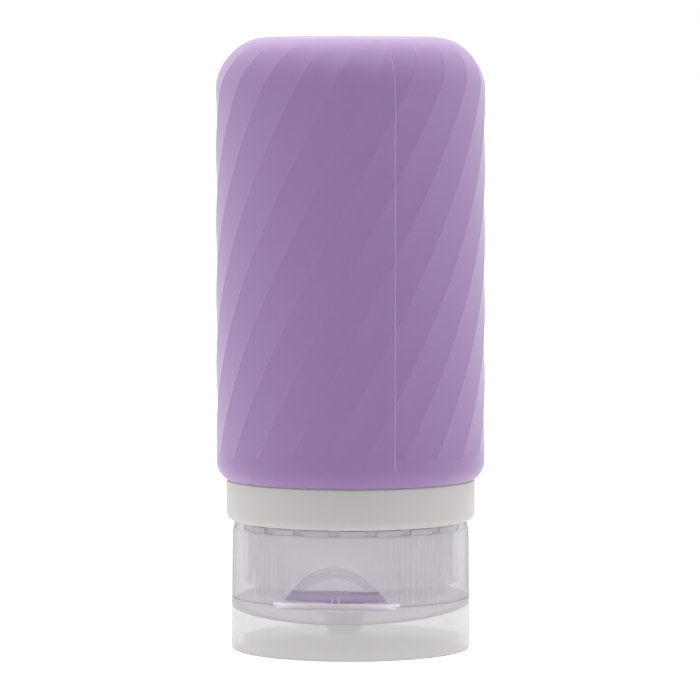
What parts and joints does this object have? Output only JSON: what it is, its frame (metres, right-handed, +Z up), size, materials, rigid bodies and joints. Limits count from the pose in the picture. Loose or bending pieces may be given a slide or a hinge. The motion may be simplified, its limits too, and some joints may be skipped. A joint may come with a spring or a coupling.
{
  "type": "travel silicone bottle",
  "caption": "Soft squeeze bottle with twisted flutes that stands on its screw cap; the cap has a ribbed grip, a nozzle and a hinged flip lid.",
  "frame": {"origin": "centre of the closed lid's flat outer face, on which the bottle stands", "axes": "+Z up from the lid to the bottle's closed base; thumb recess and nozzle towards -Y, lid hinge at +Y"},
  "size_m": [0.0402, 0.0402, 0.0915],
  "materials": {
    "silicone": "matte",
    "seal_silicone": "matte",
    "collar_plastic": "satin",
    "cap_plastic": "satin",
    "lid_plastic": "satin"
  },
  "bodies": {
    "bottle": {"bottle_body": "silicone", "neck_collar": "collar_plastic"},
    "seal": {"seal_ring": "seal_silicone"},
    "cap": {"cap_base": "cap_plastic", "drip_valve": "seal_silicone", "valve_retainer": "cap_plastic"},
    "lid": {"flip_lid": "lid_plastic", "hinge_film": "lid_plastic"}
  },
  "joints": [
    {"name": "cap_travel", "type": "slide", "parent": "bottle", "child": "seal", "axis": [0, 0, -1], "range_m": [0, 0.0039]},
    {"name": "cap_turn", "type": "hinge", "parent": "seal", "child": "cap", "pos_m": [0, 0, 0.009], "axis": [0, 0, -1], "range_deg": [0, 540]},
    {"name": "lid_flip", "type": "hinge", "parent": "cap", "child": "lid", "pos_m": [0, 0.0181, 0.00881], "axis": [1, 0, 0], "range_deg": [0, 145], "deforming": ["hinge_film"]}
  ],
  "couplings": [
    {"joint": "cap_travel", "follows": "cap_turn", "m_per_rad": 0.0004138}
  ]
}
